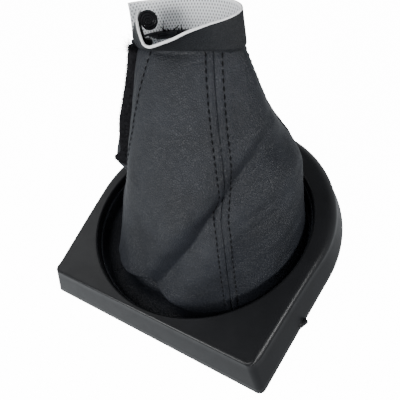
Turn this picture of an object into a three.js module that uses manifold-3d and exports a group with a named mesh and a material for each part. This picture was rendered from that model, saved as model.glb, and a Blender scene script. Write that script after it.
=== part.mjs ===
// Gear lever gaiter: a soft leather boot on a D-shaped plastic surround.
// Millimetres, +Z up. The origin is under the middle of the surround, on the surface that it stands on.
// The flat side of the surround faces -Y and its round end faces +Y.

import * as THREE from 'three';
import { mergeVertices } from 'three/addons/utils/BufferGeometryUtils.js';
import Module from 'manifold-3d';

const wasm = await Module();
wasm.setup();

// Surround: one moulding, hollow underneath
const roundRadius = 87;          // outside of the round end, at the foot of its wall
const flatWidth = 150;           // flat side, between the corners where the sides meet it
const surroundHeight = 21.5;     // from the foot of the wall to the top face
const wallThickness = 2.2;
const topThickness = 2.6;
const wallLean = 6.3;            // how far the wall leans inwards from foot to top
const cornerRadius = 4;          // upright edges at both ends of the flat side
const roundEdgeRadius = 4.5;     // top edge along the sides and the round end
const flatEdgeRadius = 1.5;      // top edge along the flat side
const holeRadius = 71;
const holeOffset = -7;           // centre of the hole, along Y
const holeEdgeRadius = 1.2;
const flangeThickness = 1.8;     // skirt that hangs down around the hole and carries the gaiter
const flangeDepth = 15;
const lugDrop = 2;               // small locating lugs below the foot of the wall
const lugWidth = 6;
const lugHeight = 5;
const lugPlace = -44.5;          // of the side lugs, along Y

// Leather body: four panels between the hole and the collar
const leatherThickness = 1.1;
const clearance = 0.3;           // between pieces that touch
const seamGap = 0.5;             // between the panels along their seams
const hemHeight = 9;             // band that is bonded inside the flange
const footHeight = 12;           // where the panels start to rise, above the foot of the wall
const footGap = 13;              // from the edge of the hole in to the panels at their foot
const troughDepth = 9;           // how far the leather sags between the hem and the panels
const joinHeight = 127;          // seam between the panels and the collar, above the foot of the wall
const joinHalfWidth = 27.4;
const joinHalfDepth = 9.5;
const joinPlace = [8.6, 14];     // the gaiter leans to the right and back
const joinTurn = 2;
const bodyFlare = 0.86;          // below 1 the panels belly out on their way down
const seamsAtFoot = [-128, -47, 45, 137, 232];   // directions of the left, front, right and rear seam
const seamsAtJoin = [-148, -54, 33, 125, 212];
const slitBottom = 0.43;         // share of the panels' height where the open left seam ends
const joinAllowance = 4.6;       // of the front panels, standing up inside the collar
const rearAllowance = 1;         // of the rear panels

// Collar: a double strip around the mouth, whose left end hangs open
const collarHeight = 14;         // from the join to the rim, along the collar
const collarThickness = 1.3;
const collarEnd = 0.92;          // of the way around, where its rear end stops
const collarEndSlant = 0.03;     // less at the rim
const collarRearRise = 2;        // extra height of that end
const collarFrontRise = 2.4;     // and of its free end, at the open seam
const collarFoot = -0.3;         // lower edge, above the join
const collarFootRise = { u: 0.19, width: 0.12, rise: 3.1 };     // of that edge, at the front
// Places around, and how far the rim stands out there along X and Y, as shares of the height:
// the free end bends back around the coil, and next to it the collar flops outwards
const collarRim = [
  [0, 0.235, 0.475], [0.012, 0.20, 0.345], [0.025, 0.225, 0.10], [0.038, 0.34, -0.21], [0.05, 0.44, -0.45],
  [0.063, 0.49, -0.59], [0.08, 0.52, -0.62], [0.105, 0.49, -0.59], [0.13, 0.44, -0.53], [0.16, 0.38, -0.43],
  [0.195, 0.24, -0.29], [0.227, 0.12, -0.19], [0.262, 0.03, -0.08], [0.307, 0, 0], [1, 0, 0],
];
const collarUpright = { share: 0.38, from: 0.015, to: 0.045 };  // stretch of the free end that stays upright
const collarTwist = 0.03;        // of the way around, over which the free end grows taller

// Hook and loop closing of the open left seam
const tapeWidth = 10;            // of the hook tape
const stemWidth = 4;             // to which it is trimmed at the collar, under its rolled end
const loopTapeWidth = 18.5;
const tapeThickness = 1.0;
const tapeMargin = 1.2;          // from the leather's edge to the hook tape
const seamSlack = 1.2;           // looseness between the overlapping edges
const loopTapeReach = 0.03;      // of the way around, past the front panel's edge
const loopTapeTop = 0.965;       // share of the panels' height
const coilFront = [-3.2, 8.0, 12.2];   // middle of the rolled free end's front; its height is above the join
const coilTurn = -47;            // direction that its axis faces
const coilTilt = 43;             // of the axis, upwards
const coilWidth = 7;
const coilRadius = 4.8;
const coilTurns = 1.5;
const coilPitch = 1.9;

const deg = Math.PI / 180;
const footZ = lugDrop;                              // foot of the wall
const topZ = lugDrop + surroundHeight;
const flangeFootZ = topZ - flangeDepth;
const hemRadius = holeRadius - clearance - leatherThickness;
const hemFootZ = flangeFootZ + clearance;
const bodyFootZ = footZ + footHeight;
const joinZ = footZ + joinHeight;
const bodyRise = joinZ - bodyFootZ;
const tapeGap = 1.5 * clearance;                    // under the loop tape, which bridges the curve of the edge
const tapeDrop = 2 * tapeThickness + leatherThickness + 3 * clearance + seamSlack;

// Where the foot of the panels stands out or is drawn in: direction and width in degrees, then mm
const footSwells = [
  { at: 10, width: 60, out: 8 },
  { at: -60, width: 40, out: 5 },
  { at: 195, width: 38, out: -12 },
  { at: -118, width: 26, out: 7 },
];
const rightBelly = { at: 20, width: 60, height: 0.35, rise: 0.25, out: 6 };
const frontBelly = { u: 0.165, width: 0.07, height: 0.46, rise: 0.2, out: 5 };
const seamRidge = { width: 0.008, out: 1.6 };             // of the closed part of the left seam
const slitBulge = { u: 0.935, width: 0.034, low: 10, high: 4 };     // of the rear left panel, beside the slit
const tuckSpan = [0.948, 0.985];                          // where that panel dives under the front left one
// The front seam gives way over the long fold, by degrees
const seamDrift = { u: 0.25, width: 0.10, from: 0.42, to: 0.56, turn: 5 };

// Mesh
const hemShare = 0.75;           // of the stretch below the foot that is the sag; the rest is the hem
const panelColumns = 14;
const bodySteps = 24;
const tuckStart = 0.91;          // past it the rear left panel's columns lie closer together
const collarColumns = 34;
const collarEndColumns = 14;     // in its free end, up to collarEndSpan of the way around
const collarEndSpan = 0.1;
const collarRows = [0, 0.18, 0.35, 0.65, 1];

const lerp = (a, b, t) => a + (b - a) * t;
const clamp01 = (t) => Math.min(1, Math.max(0, t));
const smooth = (x, a, b) => {
  const t = clamp01((x - a) / (b - a));
  return t * t * (3 - 2 * t);
};
const hump = (x, centre, width) => Math.exp(-(((x - centre) / width) ** 2));
const angleHump = (a, centre, width) => {
  const d = Math.atan2(Math.sin(a - centre * deg), Math.cos(a - centre * deg));
  return Math.exp(-((d / (width * deg)) ** 2));
};

// A closed body from rows of points, where every row is a closed loop and the last row joins the first
function ringBody(rows) {
  const count = rows[0].length;
  const index = [];
  for (let i = 0; i < rows.length; i++) {
    for (let j = 0; j < count; j++) {
      const next = ((i + 1) % rows.length) * count;
      const a = i * count + j;
      const b = i * count + (j + 1) % count;
      const c = next + (j + 1) % count;
      const d = next + j;
      index.push(a, c, b, a, d, c);
    }
  }
  return indexed(rows.flat(2), index);
}

function indexed(position, index) {
  const geometry = new THREE.BufferGeometry();
  geometry.setAttribute('position', new THREE.Float32BufferAttribute(position, 3));
  geometry.setIndex(index);
  geometry.computeVertexNormals();
  return geometry;
}

// A thin closed shell: `outer` and `inner` are grids of points, rows by columns, with the outer face outside.
function shell(outer, inner) {
  const rows = outer.length;
  const columns = outer[0].length;
  const position = [...outer.flat(2), ...inner.flat(2)];
  const under = rows * columns;
  const index = [];
  const quad = (a, b, c, d) => index.push(a, b, c, a, c, d);
  const at = (i, j) => i * columns + j;
  for (let i = 0; i < rows - 1; i++) {
    for (let j = 0; j < columns - 1; j++) {
      quad(at(i, j), at(i, j + 1), at(i + 1, j + 1), at(i + 1, j));
      quad(under + at(i, j), under + at(i + 1, j), under + at(i + 1, j + 1), under + at(i, j + 1));
    }
  }
  for (let j = 0; j < columns - 1; j++) {
    quad(at(0, j + 1), at(0, j), under + at(0, j), under + at(0, j + 1));
    const r = rows - 1;
    quad(at(r, j), at(r, j + 1), under + at(r, j + 1), under + at(r, j));
  }
  for (let i = 0; i < rows - 1; i++) {
    quad(at(i, 0), at(i + 1, 0), under + at(i + 1, 0), under + at(i, 0));
    const c = columns - 1;
    quad(at(i + 1, c), at(i, c), under + at(i, c), under + at(i + 1, c));
  }
  return indexed(position, index);
}

// Joins and cuts
function solid(geometry) {
  const bare = geometry.clone();
  bare.deleteAttribute('normal');
  if (bare.getAttribute('uv')) bare.deleteAttribute('uv');
  const merged = mergeVertices(bare, 1e-4);
  const vertProperties = new Float32Array(merged.getAttribute('position').array);
  const triVerts = new Uint32Array(merged.getIndex().array);
  return new wasm.Manifold(new wasm.Mesh({ numProp: 3, vertProperties, triVerts }));
}

function fromSolid(manifold) {
  const mesh = manifold.getMesh();
  return indexed(Array.from(mesh.vertProperties), Array.from(mesh.triVerts));
}

// Outline of the surround, set in by `inset`: flat side, rounded corner, slanted side, round end and back.
// The slanted sides run from the corners to where they touch the round end's circle.
function outline(inset) {
  const radius = roundRadius - inset;
  const corner = new THREE.Vector2(flatWidth / 2 - inset, -radius);
  const touch = Math.atan2(corner.y, corner.x) + Math.acos(Math.min(1, radius / corner.length()));
  const touchPoint = new THREE.Vector2(radius * Math.cos(touch), radius * Math.sin(touch));
  const along = touchPoint.clone().sub(corner).normalize();
  const back = new THREE.Vector2(-1, 0);
  const half = back.angleTo(along) / 2;
  const cut = cornerRadius / Math.tan(half);
  const inwards = along.clone().add(back).normalize();
  const centre = corner.clone().addScaledVector(inwards, cornerRadius / Math.sin(half));
  const right = [];
  const cornerSteps = 4;
  const sideSteps = 6;
  const roundSteps = 44;
  const flatSteps = 14;
  for (let i = 0; i <= cornerSteps; i++) {
    const a = lerp(-Math.PI / 2, touch, i / cornerSteps);
    right.push([centre.x + cornerRadius * Math.cos(a), centre.y + cornerRadius * Math.sin(a)]);
  }
  const start = corner.clone().addScaledVector(along, cut);
  for (let i = 1; i <= sideSteps; i++) {
    const p = start.clone().lerp(touchPoint, i / sideSteps);
    right.push([p.x, p.y]);
  }
  const points = [...right];
  for (let i = 1; i < roundSteps; i++) {
    const a = lerp(touch, Math.PI - touch, i / roundSteps);
    points.push([radius * Math.cos(a), radius * Math.sin(a)]);
  }
  for (const [x, y] of [...right].reverse()) points.push([-x, y]);
  const flatEnd = right[0];
  for (let i = 1; i < flatSteps; i++) {
    points.push([lerp(-flatEnd[0], flatEnd[0], i / flatSteps), flatEnd[1]]);
  }
  return points;
}

// The surround's section, carried around the outline
function surroundShell() {
  const foot = outline(0);
  const direction = foot.map(([x, y]) => {
    const d = Math.hypot(x, y - holeOffset);
    return [x / d, (y - holeOffset) / d];
  });
  const cornerSpan = [-roundRadius + 2 * cornerRadius, -roundRadius + cornerRadius / 2];
  const isFlat = foot.map(([, y]) => smooth(y, ...cornerSpan));
  const onHole = (radius, z) => direction.map(([x, y]) => [x * radius, holeOffset + y * radius, z]);
  const insets = (insetOf, zOf, least) => foot.map((_, i) => {
    const edge = lerp(roundEdgeRadius, flatEdgeRadius, isFlat[i]);
    const z = zOf(edge);
    const [x, y] = outline(insetOf(edge, z))[i];
    const reach = Math.hypot(x, y - holeOffset);
    const grown = Math.max(reach, least) / reach;
    return [x * grown, holeOffset + (y - holeOffset) * grown, z];
  });
  const lean = (z) => wallLean * (z - footZ) / surroundHeight;
  const rows = [];
  rows.push(onHole(holeRadius, flangeFootZ));
  rows.push(onHole(holeRadius, topZ - holeEdgeRadius));
  const halfTurn = holeEdgeRadius * (1 - Math.SQRT1_2);
  rows.push(onHole(holeRadius + halfTurn, topZ - halfTurn));
  rows.push(onHole(holeRadius + holeEdgeRadius, topZ));
  const topInner = holeRadius + holeEdgeRadius + clearance;
  for (const turn of [90, 67.5, 45, 22.5, 0]) {
    const rise = (edge) => topZ - edge * (1 - Math.sin(turn * deg));
    const inset = (edge) => lean(topZ - edge) + edge * (1 - Math.cos(turn * deg));
    rows.push(insets(inset, rise, topInner));
  }
  rows.push(insets(() => 0, () => footZ, 0));
  rows.push(insets(() => wallThickness, () => footZ, 0));
  const flangeOuter = holeRadius + flangeThickness;
  const underside = topZ - topThickness;
  const innerWall = (edge, z) => lean(z) + wallThickness + edge / 4;
  rows.push(insets(innerWall, () => underside, flangeOuter + 2 * clearance));
  rows.push(onHole(flangeOuter, underside));
  rows.push(onHole(flangeOuter, flangeFootZ));
  return ringBody(rows);
}

// A small upright lug at the foot of the wall, with a sloped lower end
function lug(x, y) {
  const turn = Math.atan2(y, x);
  const shape = new THREE.Shape();
  shape.moveTo(0, 0);
  shape.lineTo(wallThickness * 0.8, 0);
  shape.lineTo(wallThickness * 0.8, lugHeight);
  shape.lineTo(-wallThickness * 0.2, lugHeight);
  shape.lineTo(-wallThickness * 0.2, lugDrop / 2);
  shape.closePath();
  const geometry = new THREE.ExtrudeGeometry(shape, { depth: lugWidth, bevelEnabled: false });
  geometry.translate(0, 0, -lugWidth / 2);
  geometry.rotateX(Math.PI / 2);
  geometry.rotateZ(turn + Math.PI);
  geometry.translate(x, y, 0);
  return geometry;
}

function surround() {
  let body = solid(surroundShell());
  const foot = outline(0);
  const inset = wallThickness * 0.4;
  const away = ([x, y]) => (x > 0 ? Math.abs(y - lugPlace) : Infinity);
  const nearest = foot.reduce((best, p) => (away(p) < away(best) ? p : best));
  const side = [nearest[0] - inset, nearest[1]];
  for (const [x, y] of [side, [-side[0], side[1]], [0, roundRadius - inset]]) body = body.add(solid(lug(x, y)));
  return fromSolid(body);
}

// Folds of the leather, along straight lines on the opened-out body.
// u goes once around from the left seam and v from the foot to the collar; depth, heights and widths are in mm.
const girth = 260;               // length around the body that one turn of u stands for
const folds = [
  { from: [0.120, 0.06], to: [0.292, 0.60], depth: 3.2, width: 5.5, above: 2.4, below: 1.6 },
  { from: [0.292, 0.60], to: [0.350, 0.66], depth: 2.6, width: 6.0, above: 1.6, below: 1.6 },
  { from: [0.350, 0.66], to: [0.470, 0.57], depth: 2.4, width: 6.5, above: 0.8, below: 2.0 },
];
const foldShoulder = 12;         // from the bottom of a fold to the swellings beside it
const foldShoulderWidth = 9;

function foldOffset(u, v) {
  let sum = 0;
  for (const { from, to, depth, width, above, below } of folds) {
    const run = [(to[0] - from[0]) * girth, (to[1] - from[1]) * bodyRise];
    const length = Math.hypot(...run);
    const place = [(u - from[0]) * girth, (v - from[1]) * bodyRise];
    const along = (place[0] * run[0] + place[1] * run[1]) / length;
    const across = (place[0] * run[1] - place[1] * run[0]) / length;
    const fade = smooth(along, -10, 6) * (1 - smooth(along, length - 6, length + 10));
    sum += fade * (above * hump(across, -foldShoulder, foldShoulderWidth)
      + below * hump(across, foldShoulder, foldShoulderWidth) - depth * hump(across, 0, width));
  }
  return sum;
}

// Direction from the axis for a place on the body
function turnAt(u, v) {
  const panel = Math.min(3, Math.max(0, Math.floor(u * 4)));
  const share = u * 4 - panel;
  const foot = lerp(seamsAtFoot[panel], seamsAtFoot[panel + 1], share);
  const join = lerp(seamsAtJoin[panel], seamsAtJoin[panel + 1], share);
  const { turn, from, to, width } = seamDrift;
  const drift = turn * smooth(v, from, to) * hump(u, seamDrift.u, width);
  return (lerp(foot, join, v) + drift) * deg;
}

// Distance of the panels' foot from the centre of the hole
function footRadiusAt(turn) {
  const plain = holeRadius - footGap;
  return footSwells.reduce((sum, { at, width, out }) => sum + out * angleHump(turn, at, width), plain);
}

// How far the leather stands out of the plain cone: bellies, the ridge of the closed left seam, and folds
function swell(u, v) {
  const turn = turnAt(u, v);
  const right = rightBelly.out * angleHump(turn, rightBelly.at, rightBelly.width)
    * hump(v, rightBelly.height, rightBelly.rise);
  const front = frontBelly.out * hump(u, frontBelly.u, frontBelly.width)
    * hump(v, frontBelly.height, frontBelly.rise);
  const ridge = seamRidge.out * (hump(u, 0, seamRidge.width) + hump(u, 1, seamRidge.width))
    * (1 - smooth(v, slitBottom - 0.05, slitBottom + 0.02));
  const fold = foldOffset(u, v) * smooth(v, -0.02, 0.08);
  return (right + front + ridge + fold) * (1 - smooth(v, 0.9, 1));
}

// The rear left panel bulges at the open seam and tucks under the front left one, by the tapes' thickness
function rearLeftTuck(u, v) {
  const bulge = lerp(slitBulge.low, slitBulge.high, smooth(v, slitBottom, 0.95));
  return smooth(v, slitBottom - 0.06, slitBottom + 0.02)
    * (bulge * hump(u, slitBulge.u, slitBulge.width) - tapeDrop * smooth(u, ...tuckSpan));
}

// The grain face of the leather. v from 0 to 1 is the body, above 1 the allowance inside the collar,
// and from 0 to -1 the sag below the foot and the hem that stands against the flange.
function leather(u, v) {
  const height = clamp01(v);
  const turn = turnAt(u, height);
  const flare = (1 - height) ** bodyFlare;
  const foot = footRadiusAt(turn);
  const footPoint = [foot * Math.cos(turn), holeOffset + foot * Math.sin(turn)];
  const around = turn - joinTurn * deg;
  const oval = [joinHalfWidth * Math.cos(around), joinHalfDepth * Math.sin(around)];
  const c = Math.cos(joinTurn * deg);
  const s = Math.sin(joinTurn * deg);
  const join = [joinPlace[0] + oval[0] * c - oval[1] * s, joinPlace[1] + oval[0] * s + oval[1] * c];
  const push = swell(u, height);
  const x = lerp(join[0], footPoint[0], flare) + Math.cos(turn) * push;
  const y = lerp(join[1], footPoint[1], flare) + Math.sin(turn) * push;
  if (v >= 0) return [x, y, bodyFootZ + bodyRise * height + Math.max(0, v - 1) * bodyRise];
  const start = Math.hypot(x, y - holeOffset);
  const facing = Math.atan2(y - holeOffset, x);
  const t = clamp01(-v / hemShare);
  const gap = hemRadius - start;
  const b = [(1 - t) ** 3, 3 * t * (1 - t) ** 2, 3 * t * t * (1 - t), t ** 3];
  const radii = [start, start + gap * 0.1, hemRadius, hemRadius];
  const heights = [bodyFootZ, bodyFootZ - troughDepth, hemFootZ - troughDepth * 0.8, hemFootZ];
  const r = b.reduce((sum, w, i) => sum + w * radii[i], 0);
  const rise = hemHeight * clamp01((-v - hemShare) / (1 - hemShare));
  const z = b.reduce((sum, w, i) => sum + w * heights[i], rise);
  return [r * Math.cos(facing), holeOffset + r * Math.sin(facing), z];
}

// Point of a surface moved along its own normal
function lifted(surface, u, v, distance) {
  const e = 1e-4;
  const p = new THREE.Vector3(...surface(u, v));
  const du = new THREE.Vector3(...surface(u + e, v)).sub(new THREE.Vector3(...surface(u - e, v)));
  const dv = new THREE.Vector3(...surface(u, v + e)).sub(new THREE.Vector3(...surface(u, v - e)));
  const normal = du.cross(dv).normalize();
  return p.addScaledVector(normal, distance).toArray();
}

// Length around the body that one turn of u has at (u, v)
function stretchAt(surface, u, v) {
  const e = 1e-3;
  return new THREE.Vector3(...surface(u + e, v)).distanceTo(new THREE.Vector3(...surface(u - e, v))) / (2 * e);
}

// Evenly spaced values from a to b
function spread(a, b, steps) {
  const count = Math.round(steps);
  return Array.from({ length: count + 1 }, (_, j) => lerp(a, b, j / count));
}

const panelRows = [-1, -0.75, -0.64, -0.53, -0.42, -0.31, -0.2, -0.1];
for (let i = 0; i <= bodySteps; i++) panelRows.push(i / bodySteps);

// One panel between two seams. It stops half a seam gap short of each seam line.
// `bend`, where given, is the place past which the panel's columns lie closer together.
function panel(first, last, surface, allowance, reachAt = () => 0, bend = first) {
  const outer = [];
  const inner = [];
  for (const v of [...panelRows, 1 + allowance / bodyRise]) {
    const start = first + seamGap / 2 / stretchAt(surface, first + 0.002, v);
    const end = last + reachAt(v) - seamGap / 2 / stretchAt(surface, last - 0.002, v);
    const columns = bend === first ? spread(start, end, panelColumns)
      : [...spread(start, bend, panelColumns / 2), ...spread(bend, end, panelColumns * 2 / 3).slice(1)];
    outer.push(columns.map((u) => surface(u, v)));
    inner.push(columns.map((u) => lifted(surface, u, v, -leatherThickness)));
  }
  return shell(outer, inner);
}

// The leather moved level, square to its outline at that height, by the bulge and the tuck
function rearLeftSurface(u, v) {
  const e = 1e-4;
  const before = leather(u - e, v);
  const after = leather(u + e, v);
  const run = [after[0] - before[0], after[1] - before[1]];
  const tuck = rearLeftTuck(u, clamp01(v)) / Math.hypot(...run);
  const p = leather(u, v);
  return [p[0] + run[1] * tuck, p[1] - run[0] * tuck, p[2]];
}

const overlapShare = (v) => smooth(v, slitBottom + 0.035, slitBottom + 0.1);
const rearLeftReach = (v) => (loopTapeReach + 0.005) * overlapShare(v);

// How far the collar's rim stands out along X and Y
function collarLean(u) {
  const next = Math.max(1, collarRim.findIndex(([at]) => at >= u));
  const [from, x0, y0] = collarRim[next - 1];
  const [to, x1, y1] = collarRim[next];
  const t = clamp01((u - from) / (to - from));
  return [lerp(x0, x1, t), lerp(y0, y1, t)];
}

// The collar stands on the join. t goes from its lower edge to its rim; `out` moves it level off the panels.
function collarPoint(u, t, out) {
  const body = u > 0.75 ? rearLeftSurface : leather;
  const e = 1e-4;
  const before = body(u - e, 1);
  const after = body(u + e, 1);
  const run = [after[0] - before[0], after[1] - before[1]];
  const away = out / Math.hypot(...run);
  const base = body(u, 1);
  const [x, y] = collarLean(u);
  const height = collarHeight + collarFrontRise * (1 - smooth(u, 0, collarTwist))
    + collarRearRise * smooth(u, 0.75, collarEnd);
  const foot = collarFoot + collarFootRise.rise * hump(u, collarFootRise.u, collarFootRise.width);
  const { share, from, to } = collarUpright;
  const upright = share * (1 - smooth(u, from, to));
  const lean = height * Math.max(0, t - upright) / (1 - upright);
  return [base[0] + run[1] * away + x * lean, base[1] - run[0] * away + y * lean,
    base[2] + lerp(foot, height * Math.sqrt(1 - x * x - y * y), t)];
}

function collar() {
  const placesAt = (t) => [...spread(0, collarEndSpan, collarEndColumns),
    ...spread(collarEndSpan, collarEnd - collarEndSlant * t, collarColumns).slice(1)];
  const grain = (u, t) => collarPoint(u, t, clearance + collarThickness);
  const outer = collarRows.map((t) => placesAt(t).map((u) => grain(u, t)));
  const inner = collarRows.map((t) => placesAt(t).map((u) => lifted(grain, u, t, -collarThickness)));
  return shell(outer, inner);
}

// Rows of a tape, at the rows of the panel that carries it
const tapeRows = (top) => [...panelRows.filter((v) => v > slitBottom + 0.03 && v < top - 0.01), top];

// Loop tape: on the grain face of the rear left panel, along its edge
function loopTape() {
  const columns = 5;
  const outer = [];
  const inner = [];
  for (const v of tapeRows(loopTapeTop)) {
    const end = 1 + loopTapeReach * overlapShare(v);
    const start = end - loopTapeWidth / stretchAt(rearLeftSurface, 0.96, v);
    const places = spread(start, end, columns);
    outer.push(places.map((u) => lifted(rearLeftSurface, u, v, tapeGap + tapeThickness)));
    inner.push(places.map((u) => lifted(rearLeftSurface, u, v, tapeGap)));
  }
  return shell(outer, inner);
}

// Hook tape: behind the front left panel's edge, with its free end standing up and rolled into a coil
function hookTape() {
  const columns = 4;
  const outer = [];
  const inner = [];
  const onPanel = -leatherThickness - clearance;
  for (const v of tapeRows(1 + joinAllowance / bodyRise)) {
    const start = tapeMargin / stretchAt(leather, 0.01, v);
    const end = start + lerp(tapeWidth, stemWidth, smooth(v, 0.88, 0.98)) / stretchAt(leather, 0.03, v);
    const places = spread(start, end, columns);
    outer.push(places.map((u) => lifted(leather, u, v, onPanel)));
    inner.push(places.map((u) => lifted(leather, u, v, onPanel - tapeThickness)));
  }
  const facing = new THREE.Vector3(Math.cos(coilTurn * deg), Math.sin(coilTurn * deg), 0);
  const axis = facing.clone().multiplyScalar(Math.cos(coilTilt * deg)).setZ(Math.sin(coilTilt * deg));
  const inwards = new THREE.Vector3(-facing.y, facing.x, 0);
  const up = axis.clone().cross(inwards);
  const front = new THREE.Vector3(coilFront[0], coilFront[1], joinZ + coilFront[2]);
  const across = (offset) => spread(-coilWidth, 0, columns)
    .map((along) => front.clone().add(offset).addScaledVector(axis, along).toArray());
  const coilSteps = Math.round(coilTurns * 16);
  for (let i = 0; i <= coilSteps; i++) {
    const a = i / coilSteps * coilTurns * 2 * Math.PI;
    const r = coilRadius - coilPitch * a / (2 * Math.PI);
    const radial = inwards.clone().multiplyScalar(-Math.cos(a)).addScaledVector(up, Math.sin(a));
    outer.push(across(radial.clone().multiplyScalar(r)));
    inner.push(across(radial.clone().multiplyScalar(r - tapeThickness)));
  }
  return shell(outer, inner);
}

const materials = {
  plastic: new THREE.MeshStandardMaterial({ color: 0x2b2c2f, roughness: 0.38, metalness: 0 }),
  leather: new THREE.MeshStandardMaterial({ color: 0x3c4045, roughness: 0.62, metalness: 0 }),
  collar: new THREE.MeshStandardMaterial({ color: 0x2d3035, roughness: 0.66, metalness: 0 }),
  tape: new THREE.MeshStandardMaterial({ color: 0x131315, roughness: 0.95, metalness: 0 }),
};

const group = new THREE.Group();
function add(name, geometry, material) {
  const mesh = new THREE.Mesh(geometry, material);
  mesh.name = name;
  group.add(mesh);
}

add('surround_frame', surround(), materials.plastic);
add('panel_front_left', panel(0, 0.25, leather, joinAllowance), materials.leather);
add('panel_front_right', panel(0.25, 0.5, leather, joinAllowance), materials.leather);
add('panel_rear_right', panel(0.5, 0.75, leather, rearAllowance), materials.leather);
const rearLeft = panel(0.75, 1, rearLeftSurface, rearAllowance, rearLeftReach, tuckStart);
add('panel_rear_left', rearLeft, materials.leather);
add('collar_band', collar(), materials.collar);
add('loop_tape', loopTape(), materials.tape);
add('hook_tape', hookTape(), materials.tape);

export default group;
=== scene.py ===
"""Gear lever gaiter: a leather boot on a D-shaped plastic surround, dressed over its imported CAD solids.

Lengths are worked out in millimetres and turned to metres where a mesh is made.
The flat side faces -Y and +Z is up.
"""

import bpy
import numpy as np
from mathutils import Matrix


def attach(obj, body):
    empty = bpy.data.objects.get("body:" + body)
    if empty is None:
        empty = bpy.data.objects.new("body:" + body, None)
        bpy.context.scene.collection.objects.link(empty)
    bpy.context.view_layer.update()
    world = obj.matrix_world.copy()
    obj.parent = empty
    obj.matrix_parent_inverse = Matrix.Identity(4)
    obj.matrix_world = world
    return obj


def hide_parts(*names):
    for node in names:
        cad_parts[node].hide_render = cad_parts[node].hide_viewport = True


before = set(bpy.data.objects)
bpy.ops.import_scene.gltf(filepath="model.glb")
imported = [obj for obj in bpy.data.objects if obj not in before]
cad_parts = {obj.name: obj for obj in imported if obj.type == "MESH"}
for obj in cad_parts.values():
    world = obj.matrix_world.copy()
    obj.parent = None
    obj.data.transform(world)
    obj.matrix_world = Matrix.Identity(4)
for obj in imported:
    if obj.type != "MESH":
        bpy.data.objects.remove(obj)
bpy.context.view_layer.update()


# Studio: a pale floor, a white surrounding and soft boxes, so the black pieces show by their reflections.
# The camera stands about 25 cm off and is rolled, which gives the strong perspective of the picture.

camera = bpy.data.objects.new("camera", bpy.data.cameras.new("camera"))
bpy.context.collection.objects.link(camera)
bpy.context.scene.camera = camera
camera.data.sensor_width = 36
camera.data.lens = 33.225
camera.data.clip_start = 0.01
camera_right = (0.85714, 0.46694, -0.21764)
camera_up = (-0.25382, 0.75116, 0.60936)
camera_back = (0.44801, -0.46706, 0.76234)
camera_place = (0.10633, -0.11436, 0.21147)
camera.matrix_world = Matrix([
    (camera_right[i], camera_up[i], camera_back[i], camera_place[i]) for i in range(3)
] + [(0, 0, 0, 1)])


def spread_between(tree, value, low, high, from_low=0.3, from_high=0.7, curve="LINEAR"):
    """Turns a value between from_low and from_high into one between low and high, clamped outside."""
    node = tree.nodes.new("ShaderNodeMapRange")
    node.interpolation_type = curve
    for socket, number in zip(("From Min", "From Max", "To Min", "To Max"), (from_low, from_high, low, high)):
        node.inputs[socket].default_value = number
    tree.links.new(value, node.inputs["Value"])
    return node.outputs["Result"]


def arithmetic(tree, kind, *values):
    """A Math node of that kind on sockets or numbers."""
    node = tree.nodes.new("ShaderNodeMath")
    node.operation = kind
    for socket, value in zip(node.inputs, values):
        if isinstance(value, (int, float)):
            socket.default_value = value
        else:
            tree.links.new(value, socket)
    return node.outputs[0]


world = bpy.data.worlds.new("studio")
bpy.context.scene.world = world
world.use_nodes = True
sky = world.node_tree
facing = sky.nodes.new("ShaderNodeSeparateXYZ")
sky.links.new(sky.nodes.new("ShaderNodeTexCoord").outputs["Generated"], facing.inputs[0])
darker_upwards = spread_between(sky, facing.outputs["Z"], 0.86, 0.19, 0.05, 0.75, "SMOOTHSTEP")
darker_rightwards = spread_between(sky, facing.outputs["X"], 1.06, 0.40, -0.6, 0.9, "SMOOTHSTEP")
brightness = arithmetic(sky, "MULTIPLY", darker_upwards, darker_rightwards)
sky.links.new(brightness, sky.nodes["Background"].inputs["Strength"])
sky.nodes["Background"].inputs["Color"].default_value = (0.93, 0.97, 1.0, 1)


def soft_box(name, place, aim, width, height, power):
    """A rectangular light of that width and height in metres, turned to face the point `aim`."""
    light = bpy.data.lights.new(name, "AREA")
    light.shape = "RECTANGLE"
    light.size, light.size_y, light.energy = width, height, power
    lamp = bpy.data.objects.new(name, light)
    back = np.array(place, float) - aim
    back /= np.linalg.norm(back)
    right = np.cross((0, 0, 1), back)
    right /= np.linalg.norm(right)
    turn = np.column_stack([right, np.cross(back, right), back, place])
    lamp.matrix_world = Matrix([tuple(row) for row in turn] + [(0, 0, 0, 1)])
    bpy.context.collection.objects.link(lamp)


soft_box("key_box", (-0.20, -0.55, 0.32), (0, 0, 0.06), 0.25, 0.30, 3.0)
soft_box("mouth_box", (0.06, -0.38, 0.80), (0, 0, 0.14), 0.30, 0.30, 2.3)
soft_box("left_box", (-0.55, 0.10, 0.60), (-0.05, -0.04, 0.02), 0.40, 0.40, 0.75)
soft_box("rim_box", (0.58, -0.10, 0.17), (0.07, -0.02, 0.02), 0.40, 0.12, 2.5)
soft_box("corner_box", (0.45, -0.50, 0.20), (0.07, -0.08, 0.02), 0.05, 0.16, 0.5)

floor_mesh = bpy.data.meshes.new("studio_floor")
floor_mesh.from_pydata([(-4, -4, 0), (4, -4, 0), (4, 4, 0), (-4, 4, 0)], [], [(0, 1, 2, 3)])
studio_floor = bpy.data.objects.new("studio_floor", floor_mesh)
bpy.context.collection.objects.link(studio_floor)
floor_paint = bpy.data.materials.new("floor_paint")
floor_paint.use_nodes = True
floor_shader = floor_paint.node_tree.nodes["Principled BSDF"]
floor_shader.inputs["Base Color"].default_value = (0.9, 0.9, 0.9, 1)
floor_shader.inputs["Emission Color"].default_value = (1, 1, 1, 1)
floor_shader.inputs["Emission Strength"].default_value = 14
floor_mesh.materials.append(floor_paint)
studio_floor.visible_diffuse = studio_floor.visible_glossy = studio_floor.visible_shadow = False


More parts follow.
